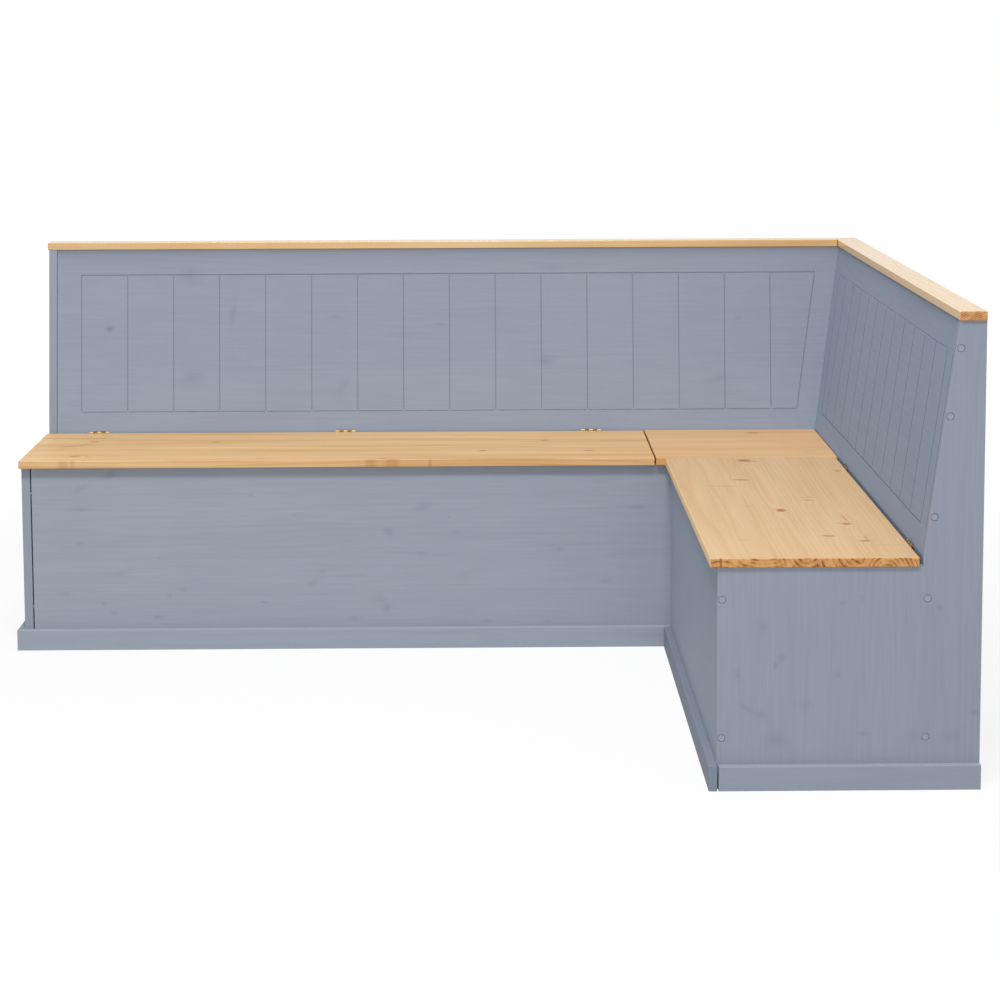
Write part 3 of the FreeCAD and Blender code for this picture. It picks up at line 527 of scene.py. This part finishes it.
# %% Painted boards
# These tints are partly the boards' tone and partly painted light and shade: each fade evens out how the
# lamps fall along its board, the long backrest darkens towards the rail as painted shadow, and the short
# plinth, which faces left, is painted darker as shade.
FRONT_TINTS = (1.04, 1.04, 1.03), (1.01, 1.01, 1.0)
LONG_BACK_TINTS = (0.935, 1.0, 1.08), (0.845, 0.865, 0.885)
SHORT_BACK_TINTS = (0.79, 0.86, 0.94), (0.925, 1.02, 1.13)
SHORT_FRONT_TINTS = (0.92, 0.96, 0.99), (1.09, 1.13, 1.15)
SHORT_PLINTH_TINT = (0.69, 0.71, 0.75)
END_TINT = (0.915, 0.915, 0.935)
INSIDE_TINT = (0.90, 0.96, 1.03)

paint_board("long_front_panel", X, Z, *FRONT_TINTS, marks=LONG_FRONT_MARKS, shift=1.0)
paint_board("short_front_panel", Y, Z, *SHORT_FRONT_TINTS, Y, shift=2.0)
paint_board("long_backrest", X, Z, *LONG_BACK_TINTS, marks=LONG_BACK_MARKS, shift=3.0,
            leaning=0.7045, groove_shade=0.12, groove_light=(0.45, 0.35))
paint_board("short_backrest", Y, Z, *SHORT_BACK_TINTS, Y, shift=4.0, leaning=0.907, groove_shade=1.0,
            groove_light=(0.05, 0.65), foot_light_tint=(1.03, 1.07, 1.14))
paint_board("right_end_panel", Z, X, END_TINT, marks=END_MARKS, shift=5.0)
paint_board("left_end_panel", Z, Y, END_TINT, shift=6.0)
paint_board("long_front_plinth", X, Z, FRONT_TINTS[0], shift=7.0)
paint_board("short_front_plinth", Y, Z, SHORT_PLINTH_TINT, shift=8.0)
paint_board("right_end_plinth", X, Z, END_TINT, shift=9.0)
paint_board("left_end_plinth", Y, Z, END_TINT, shift=10.0)
paint_board("long_box_back", X, Z, LONG_BACK_TINTS[0], shift=11.0)
paint_board("short_box_back", Y, Z, *SHORT_BACK_TINTS, Y, shift=12.0)
paint_board("long_divider", Y, Z, INSIDE_TINT, shift=13.0)
paint_board("short_divider", X, Z, INSIDE_TINT, shift=14.0)
print("painted boards:", sum(material.name.startswith("paint_") for material in bpy.data.materials))

# %% [markdown]
# ## Clear pine
# Seats and top rails are waxed, so their wood shows: staves of slightly different tone, rings as
# soft orange lines, brown knots that the rings run round, edge faces a shade apart from the top, and
# much darker sawn ends with blotches, where the wood drinks the wax. On the short seat and the short
# rail the side faces are pale: a painted highlight. Edges and ends could be separate materials, but
# each is only a place near the board's limits, so one finish finds them by their distance from the
# middle.

# %% Wax
EARLY_WOOD = paint_code(233, 193, 136)
LATE_WOOD = paint_code(206, 152, 90)
END_EARLY = paint_code(216, 162, 99)
END_LATE = paint_code(136, 72, 24)
DARK_EDGE = paint_code(196, 138, 76)
# the next colour is a painted highlight on the side faces of the short seat and the short rail
PAINTED_EDGE_HIGHLIGHT = paint_code(240, 204, 152)
KNOT_BROWN = paint_code(150, 86, 34)
SEAM_BROWN = paint_code(104, 58, 26)
GRAIN_ACROSS, GRAIN_ALONG, STREAK_ACROSS, STREAK_ALONG = 240.0, 3.0, 26.0, 1.6
RINGS_TINT, GRAIN_TINT, STREAK_TINT, WAX_DEPTH = 0.24, 0.45, 0.9, 0.14
BLOTCH_SIZE = (65.0, 65.0, 65.0)
BAND_STARTS, BAND_FULL = 0.0016, 0.0004
SEAM_HALF, SEAM_ENDS, SEAM_SHARE = 0.0010, 0.0026, 0.9
KNOT_CORE, KNOT_DARKEST = 1.3, 0.92


def near_limit(finish, place, axis, low, high):
    """1 on the board's two outermost faces along an axis, fading to 0 just inside them:
    |coordinate - middle| compared with the board's half size."""
    beside = finish.math("ABSOLUTE", finish.axes(place)[axis] - (low + high) / 2)
    half = (high - low) / 2
    return finish.node("ShaderNodeMapRange", inputs={
        "Value": beside, "From Min": half - BAND_STARTS, "From Max": half - BAND_FULL})


def wax_board(name, along, across, staves, knots, bulging, ends, shift, mitre=None, tint=PLAIN,
              rough=0.5, shine=0.3, bumps=0.2, edge=0.15, edge_colour=DARK_EDGE, streaks=1.0):
    """Gives a clear board its finish. Knots and the bulges that push its rings aside are given in x
    and y. ends are the two coordinates of its sawn ends along the grain, mitre is x - y on the
    slanting cut where the two rails meet. rough and shine are its gloss, bumps its relief, edge the
    share of edge_colour on its two faces across the grain (a painted highlight where that colour is
    pale), streaks how strong its grain shows."""
    low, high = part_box(name)
    depth = 3 - along - across
    finish = Finish(bpy.data.materials.new("wax_" + name))
    place = finish.place()
    staves = staves or plan_staves(low[across], high[across], high[depth])
    bulges = spots(finish, place, "xy", bulging) if bulging else 0.0
    late, own_tone = grow(finish, place, along, across, depth, staves, bulges, shift)
    fibre = finish.cloud(place, drawn_out(along, GRAIN_ACROSS, GRAIN_ALONG), shift)
    soaked = finish.cloud(place, drawn_out(along, STREAK_ACROSS, STREAK_ALONG), shift + 1.3)
    lines = late * RINGS_TINT + (fibre - 0.5) * GRAIN_TINT + (soaked - 0.5) * STREAK_TINT
    colour = finish.blend(lines * streaks + own_tone + WAX_DEPTH,
                          tinted(EARLY_WOOD, tint), tinted(LATE_WOOD, tint))
    edge_band = near_limit(finish, place, across, low[across], high[across])
    # the two faces across the grain take the edge colour, which on the short seat and short rail is a
    # painted highlight
    colour = finish.blend(edge_band * (soaked * 1.2 + edge - 0.6), colour, edge_colour)
    blotch = finish.cloud(place, BLOTCH_SIZE, shift + 4.7)
    end_lines = late * (blotch * 2.4 - 0.7) + (blotch - 0.5) * 1.2 + 0.24
    colour = finish.blend(near_limit(finish, place, along, *ends), colour,
                          finish.blend(end_lines, END_EARLY, END_LATE))
    if mitre:
        axes = finish.axes(place)
        off_cut = finish.math("ABSOLUTE", axes[X] - axes[Y] - mitre)
        seam = finish.node("ShaderNodeMapRange", inputs={
            "Value": off_cut, "From Min": SEAM_HALF, "From Max": SEAM_ENDS,
            "To Min": SEAM_SHARE, "To Max": 0.0})
        colour = finish.blend(seam, colour, SEAM_BROWN)
    if knots:
        core = spots(finish, place, "xy", knots, crisp=True) * KNOT_CORE
        colour = finish.blend(finish.math("MINIMUM", core, KNOT_DARKEST), colour, KNOT_BROWN)
    dress(name, finish.surface(colour, rough + (fibre - 0.5) * 0.16 + late * 0.04,
                               late * -0.4 + fibre * 0.4, strength=bumps, distance=0.0003,
                               Specular_IOR_Level=shine))


print("wax goes from", [round(part, 2) for part in EARLY_WOOD[:3]],
      "to", [round(part, 2) for part in LATE_WOOD[:3]])

# %% [markdown]
# ## Knots and hearts of the seats
# A knot is a branch that was cut through: a crisp brown ellipse, which the rings run round. Knots
# drawn at random would make another bench, so they are listed where they are on the real seats: x,
# y, two half widths, a turn in degrees and a strength. The bulges are the same for the rings, with a
# push in metres as the last number. The short seat's hearts are listed too, so that the bands on its
# sawn end run about as the real ones do.

# %% Knots
SHORT_LID_STAVES = {
    "edges": [0.565, 0.633, 0.704, 0.789],
    "hearts": [(0.520, 0.360), (0.600, 0.520), (0.687, 0.462), (0.795, 0.478), (0.838, 0.424)],
    "spacing": [0.0105, 0.0078, 0.0085, 0.0105, 0.0076],
    "tone": [-0.02, 0.02, 0.00, -0.03, 0.02],
}
SHORT_LID_KNOTS = [
    (0.681, 0.258, 0.016, 0.016, 0, 0.62), (0.700, 0.245, 0.016, 0.006, -20, 0.35),
    (0.648, 0.012, 0.020, 0.008, -8, 0.50), (0.598, -0.0615, 0.034, 0.004, -3, 0.30),
    (0.693, -0.338, 0.0095, 0.015, 0, 0.78), (0.765, -0.227, 0.009, 0.005, 0, 0.52),
    (0.771, -0.196, 0.013, 0.004, 12, 0.30), (0.810, -0.483, 0.009, 0.007, 0, 0.78),
    (0.813, -0.424, 0.0024, 0.042, 3.5, 0.40), (0.799, -0.474, 0.013, 0.004, 0, 0.30),
    (0.755, -0.601, 0.014, 0.006, -6, 0.62), (0.8205, -0.650, 0.014, 0.006, 0, 0.66),
    (0.826, -0.622, 0.0022, 0.026, 3, 0.36), (0.878, 0.117, 0.007, 0.012, 0, 0.40),
    (0.583, -0.635, 0.016, 0.004, 0, 0.22), (0.865, -0.690, 0.040, 0.003, 3, 0.20),
    (0.630, -0.290, 0.012, 0.004, 0, 0.16), (0.521, -0.806, 0.0025, 0.006, 0, 0.70),
]
SHORT_LID_BULGES = [(0.681, 0.258, 0.030, 0.060, 0, 0.014), (0.693, -0.338, 0.020, 0.050, 0, 0.012),
                    (0.648, 0.012, 0.022, 0.040, 0, 0.008), (0.810, -0.483, 0.018, 0.040, 0, 0.009),
                    (0.755, -0.601, 0.018, 0.040, 0, 0.008), (0.826, -0.629, 0.016, 0.035, 0, 0.007),
                    (0.765, -0.227, 0.016, 0.035, 0, 0.007)]
LONG_LID_KNOTS = [
    (-0.905, 0.512, 0.050, 0.010, 28, 0.22), (-0.872, 0.568, 0.014, 0.010, 30, 0.42),
    (-0.887, 0.364, 0.016, 0.010, 40, 0.40), (-0.574, 0.558, 0.013, 0.007, 0, 0.40),
    (-0.447, 0.324, 0.012, 0.006, 0, 0.22), (-0.1625, 0.315, 0.012, 0.006, 0, 0.40),
    (0.0756, 0.411, 0.013, 0.006, 4, 0.60), (0.2277, 0.555, 0.011, 0.006, 0, 0.55),
    (0.3272, 0.407, 0.012, 0.006, 0, 0.60), (0.020, 0.635, 0.014, 0.006, 0, 0.22),
    (-0.905, 0.299, 0.012, 0.006, 0, 0.20), (-0.8825, 0.299, 0.006, 0.006, 0, 0.18),
    (-0.187, 0.299, 0.013, 0.006, 0, 0.22), (-0.137, 0.299, 0.016, 0.006, 0, 0.22),
    (-0.0486, 0.299, 0.004, 0.004, 0, 0.22),
]
LONG_LID_BULGES = [(-0.872, 0.560, 0.060, 0.018, 25, 0.010), (-0.887, 0.364, 0.050, 0.016, 20, 0.010),
                   (0.0756, 0.411, 0.040, 0.014, 0, 0.006), (0.2277, 0.555, 0.040, 0.014, 0, 0.006),
                   (0.3272, 0.407, 0.040, 0.014, 0, 0.006)]
CORNER_KNOTS = [(0.746, 0.649, 0.018, 0.010, 0, 0.45), (0.780, 0.655, 0.030, 0.005, 8, 0.25),
                (0.843, 0.356, 0.022, 0.006, 0, 0.16), (0.850, 0.385, 0.022, 0.006, 8, 0.14)]
CORNER_BULGES = [(0.746, 0.649, 0.050, 0.014, 0, 0.008)]

print("knots:", len(SHORT_LID_KNOTS) + len(LONG_LID_KNOTS) + len(CORNER_KNOTS))

# %% Clear boards
RAIL_LOOK = {"mitre": 0.2025, "tint": (0.83, 0.89, 0.93), "rough": 0.19, "shine": 0.5, "bumps": 0.03}
wax_board("short_lid", Y, X, SHORT_LID_STAVES, SHORT_LID_KNOTS, SHORT_LID_BULGES, (-0.806, 0.298),
          21.0, tint=(0.79, 0.835, 0.99), edge=1.0, edge_colour=PAINTED_EDGE_HIGHLIGHT, streaks=0.8)
wax_board("long_lid", X, Y, None, LONG_LID_KNOTS, LONG_LID_BULGES, (-1.0085, 0.477), 22.0,
          tint=(0.87, 0.90, 0.97), streaks=2.0)
wax_board("corner_seat", X, Y, None, CORNER_KNOTS, CORNER_BULGES, (0.480, 0.9055), 23.0,
          tint=(0.88, 0.87, 0.95), edge=0.6, streaks=1.2)
wax_board("long_top_rail", X, Y, None, (), (), (-1.0075, 1.0205), 24.0, **RAIL_LOOK)
wax_board("short_top_rail", Y, X, None, (), (), (-0.805, 0.818), 25.0, **RAIL_LOOK,
          edge=1.0, edge_colour=PAINTED_EDGE_HIGHLIGHT)
print("clear boards:", sum(material.name.startswith("wax_") for material in bpy.data.materials))

# %% [markdown]
# ## Unseen wood and metal
# Chest floors, battens and dowels are left as sawn: the same rings, pale and dry. They could go
# without rings, but an open lid shows them. Brass and zinc have a fine drawn grain and a few
# clouds of tarnish, which change their tone, and the grain changes their gloss too. The leaves on
# the lids are a darker brass than those on the bench, as painted shade, because the knuckles in the
# picture are darker and lighter by turns.

# %% Raw wood
RAW_EARLY = paint_code(226, 198, 156)
RAW_LATE = paint_code(200, 162, 112)
SAWN_ACROSS, SAWN_ALONG = 200.0, 6.0


def raw_board(name, along, across, shift):
    """Gives an unfinished board its sawn, dry look."""
    low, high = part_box(name)
    depth = 3 - along - across
    finish = Finish(bpy.data.materials.new("raw_" + name))
    place = finish.place()
    late, own_tone = grow(finish, place, along, across, depth,
                          plan_staves(low[across], high[across], high[depth]), shift=shift)
    fibre = finish.cloud(place, drawn_out(along, SAWN_ACROSS, SAWN_ALONG), shift)
    colour = finish.blend(late * 0.6 + (fibre - 0.5) * 0.8 + own_tone + 0.1, RAW_EARLY, RAW_LATE)
    dress(name, finish.surface(colour, 0.72 + (fibre - 0.5) * 0.2, fibre, strength=0.4, distance=0.0004))


RAW_BOARDS = [
    ("long_chest_floor", X, Y), ("short_chest_floor", Y, X), ("long_floor_battens", X, Z),
    ("short_floor_battens", Y, Z), ("corner_batten_long", X, Z), ("corner_batten_short", Y, Z),
    ("long_foot_dowels", Z, X), ("long_rail_dowels", Z, X), ("short_foot_dowels", Z, Y),
    ("short_rail_dowels", Z, Y),
]
for number, (name, along, across) in enumerate(RAW_BOARDS):
    raw_board(name, along, across, 31.0 + number)
print("raw boards:", len(RAW_BOARDS))

# %% Metal
DRAWN, ROLLED, STAINS = (900.0, 900.0, 120.0), (500.0, 500.0, 500.0), (60.0, 60.0, 60.0)


def metal(name, bright, dull, rough, grain):
    """A drawn metal: two tones and a roughness that follow fine streaks and clouds of tarnish."""
    finish = Finish(bpy.data.materials.new(name))
    place = finish.place()
    streaks = finish.cloud(place, grain, 5.0, detail=4.0, rough=0.6)
    stain = finish.cloud(place, STAINS, 6.0)
    colour = finish.blend(stain * 0.8 + (streaks - 0.5) * 0.5, paint_code(*bright), paint_code(*dull))
    return finish.surface(colour, rough + (streaks - 0.5) * 0.2, streaks, strength=0.15,
                          distance=0.0001, Metallic=1.0)


BRASS = metal("satin_brass", (186, 162, 122), (146, 118, 78), 0.48, DRAWN)
ZINC = metal("zinc_plate", (206, 208, 212), (160, 163, 168), 0.34, ROLLED)
# the next brass, for the leaves on the lids, is darker as painted shade
SHADED_BRASS = metal("shaded_brass", (122, 92, 50), (72, 50, 28), 0.45, DRAWN)
hinge_parts = [name for name in BOARDS if "_leaf" in name or name.endswith("_pin")]
for name in hinge_parts:
    dress(name, SHADED_BRASS if name.endswith("lid_leaf") else BRASS)
for name in ("left_connecting_screws", "right_connecting_screws"):
    dress(name, ZINC)
print("brass parts:", len(hinge_parts))

# %% [markdown]
# ## Turned parts
# A cap and a screw are both turned shapes: one outline swept round an axis. Blender could do this
# with a Screw modifier, but here the whole grid of points is one formula, (r cos a, r sin a, h), so
# the cross in a screw's head can be pressed in by lowering h over two crossed slots.

# %% Turned surfaces
def centres_in(node, reach):
    """Middle of each separate part of a CAD node: halfway between the lowest and highest of the
    vertices that lie within `reach` of one another."""
    flat = np.empty(len(BOARDS[node].data.vertices) * 3, np.float32)
    BOARDS[node].data.vertices.foreach_get("co", flat)
    points = np.unique(flat.reshape(-1, 3).round(5), axis=0)
    near = (np.abs(points[:, None] - points[None]) < np.array(reach)).all(-1)[..., None]
    lowest = np.where(near, points[None], 9.0).min(1)
    highest = np.where(near, points[None], -9.0).max(1)
    return np.unique(((lowest + highest) / 2).round(4), axis=0)


def turned(name, outline, outward, centres, material, steps=48, press=None):
    """Closed surface swept round the axis `outward` at every centre: (r cos a, r sin a, h - press).
    outline is rows of (r, h) from the middle of the head to the middle of the foot."""
    radii, heights = np.array(outline[1:-1]).T
    angles = np.linspace(0.0, 2.0 * math.pi, steps, endpoint=False)
    spread, angle = np.meshgrid(radii, angles, indexing="ij")
    across, upward = spread * np.cos(angle), spread * np.sin(angle)
    height = np.repeat(heights[:, None], steps, axis=1)
    depth = 0.0
    if press:
        height = height - press(across, upward) * (np.arange(len(radii)) < press.rings)[:, None]
        depth = float(press(np.zeros(1), np.zeros(1))[0])
    local = np.vstack([np.stack([across, upward, height], -1).reshape(-1, 3),
                       [[0.0, 0.0, outline[0][1] - depth], [0.0, 0.0, outline[-1][1]]]])
    axis = Vector(outward)
    side = axis.orthogonal().normalized()
    turn = np.array([side, axis.cross(side), axis])
    one = local @ turn
    points = (np.array(centres)[:, None] + one[None]).reshape(-1, 3)
    ring, step = np.meshgrid(np.arange(len(radii) - 1), np.arange(steps), indexing="ij")
    nearest, following = ring * steps + step, ring * steps + (step + 1) % steps
    quads = np.stack([nearest, nearest + steps, following + steps, following], -1).reshape(-1, 4)
    head, foot, last = len(radii) * steps, len(radii) * steps + 1, (len(radii) - 1) * steps
    around = np.arange(steps)
    caps = [np.stack([np.full(steps, head), around, (around + 1) % steps], -1),
            np.stack([np.full(steps, foot), last + (around + 1) % steps, last + around], -1)]
    jumps = [number * len(local) for number in range(len(centres))]
    faces = [row for jump in jumps for block in (quads, *caps) for row in (block + jump).tolist()]
    mesh = bpy.data.meshes.new(name)
    mesh.from_pydata(points.tolist(), [], faces)
    mesh.materials.append(material)
    mesh.shade_smooth()
    made = bpy.data.objects.new(name, mesh)
    bpy.context.scene.collection.objects.link(made)
    print(name, len(centres), "parts", len(faces), "faces")
    return made


# %% [markdown]
# ## Cover caps
# Round caps, moulded in the paint's colour, hide the screws in the end panels. Each sits half a
# millimetre below the panel's face. Its rim is rounded over, and that leaves the small groove that
# draws a dark ring in the picture. A dark ring could be painted on instead, but it would not change
# with the light.

# %% Caps
CAP_RADIUS, CAP_THICKNESS = 0.0072, 0.0025
CAP_ROLL = 0.0014
CAP_DISH = [[0.0, -0.0003], [0.0020, -0.00028], [0.0040, -0.0002], [0.0055, -0.00006]]
CAP_SPACING = (0.016, 0.016, 0.016)
CAP_MOTTLE = (300.0, 300.0, 300.0)
roll = np.linspace(0.0, math.pi / 2, 7)
CAP_OUTLINE = np.vstack([
    CAP_DISH,
    np.stack([CAP_RADIUS - CAP_ROLL + CAP_ROLL * np.sin(roll), CAP_ROLL * (np.cos(roll) - 1.0)], -1),
    [[CAP_RADIUS, -CAP_THICKNESS], [0.0, -CAP_THICKNESS]],
])
cap_finish = Finish(bpy.data.materials.new("moulded_cap"))
mottle = cap_finish.cloud(cap_finish.place(), CAP_MOTTLE, 9.0)
cap_colour = cap_finish.blend(mottle, tinted(PAINT_FULL, END_TINT), tinted(PAINT_THIN, END_TINT))
MOULDED = cap_finish.surface(cap_colour, 0.5 + (mottle - 0.5) * 0.2, mottle, strength=0.2,
                             distance=0.0001)


def cover_caps(node, outward):
    """Turned caps in place of a CAD node's plain discs."""
    middles = centres_in(node, CAP_SPACING) + np.array(outward) * CAP_THICKNESS / 2
    caps = turned(node + "_turned", CAP_OUTLINE, outward, middles, MOULDED)
    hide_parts(node)
    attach(caps, "bench")


cover_caps("left_cover_caps", (-1.0, 0.0, 0.0))
cover_caps("right_cover_caps", (0.0, -1.0, 0.0))

# %% [markdown]
# ## Hinge screws
# Small countersunk screws hold the leaves. They show only when a lid is open, and then their crossed
# slots catch the eye. A Boolean could cut them, but it leaves long thin faces. So the head's rings
# of points are pressed in by a formula: inside either arm of the cross they drop, with soft walls.

# %% Screws
HEAD_RADIUS, SHANK_RADIUS, SCREW_LENGTH = 0.003, 0.0015, 0.011
SLOT_DEPTH, SLOT_HALF, SLOT_REACH, SLOT_SOFT = 0.0009, 0.00042, 0.0017, 0.00012
HEAD_RINGS = 16
REACH_ALONG, REACH_ACROSS = 0.0125, 0.0075


def cross_slot(across, upward):
    """Depth of the cross: SLOT_DEPTH inside an arm, falling to 0 over SLOT_SOFT at its walls."""
    def inside(distance, limit):
        return np.clip((limit - np.abs(distance)) / SLOT_SOFT + 0.5, 0.0, 1.0)
    level = inside(across, SLOT_HALF) * inside(upward, SLOT_REACH)
    upright = inside(upward, SLOT_HALF) * inside(across, SLOT_REACH)
    return SLOT_DEPTH * np.maximum(level, upright)


cross_slot.rings = HEAD_RINGS
SINK = HEAD_RADIUS - SHANK_RADIUS
SCREW_OUTLINE = np.vstack([
    np.stack([np.linspace(0.0, HEAD_RADIUS - 0.00008, HEAD_RINGS + 1), np.zeros(HEAD_RINGS + 1)], -1),
    [[HEAD_RADIUS, -0.00006], [SHANK_RADIUS, -SINK], [SHANK_RADIUS, 0.0018 - SCREW_LENGTH],
     [0.0006, 0.0004 - SCREW_LENGTH], [0.0, -SCREW_LENGTH]],
])


def hinge_screws(node, outward, body):
    """Screws with crossed slots in place of a CAD node's plain ones. outward points out of the head."""
    reach = np.where(np.abs(outward) > 0.5, REACH_ALONG, REACH_ACROSS)
    middles = centres_in(node, reach) + np.array(outward) * SCREW_LENGTH / 2
    screws = turned(node + "_turned", SCREW_OUTLINE, outward, middles, BRASS, steps=40,
                    press=cross_slot)
    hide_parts(node)
    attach(screws, body)


hinge_screws("long_hinge_fixed_screws", (0.0, -1.0, 0.0), "bench")
hinge_screws("long_hinge_lid_screws", (0.0, 1.0, 0.0), "long_seat")
hinge_screws("short_hinge_fixed_screws", (-1.0, 0.0, 0.0), "bench")
hinge_screws("short_hinge_lid_screws", (1.0, 0.0, 0.0), "short_seat")
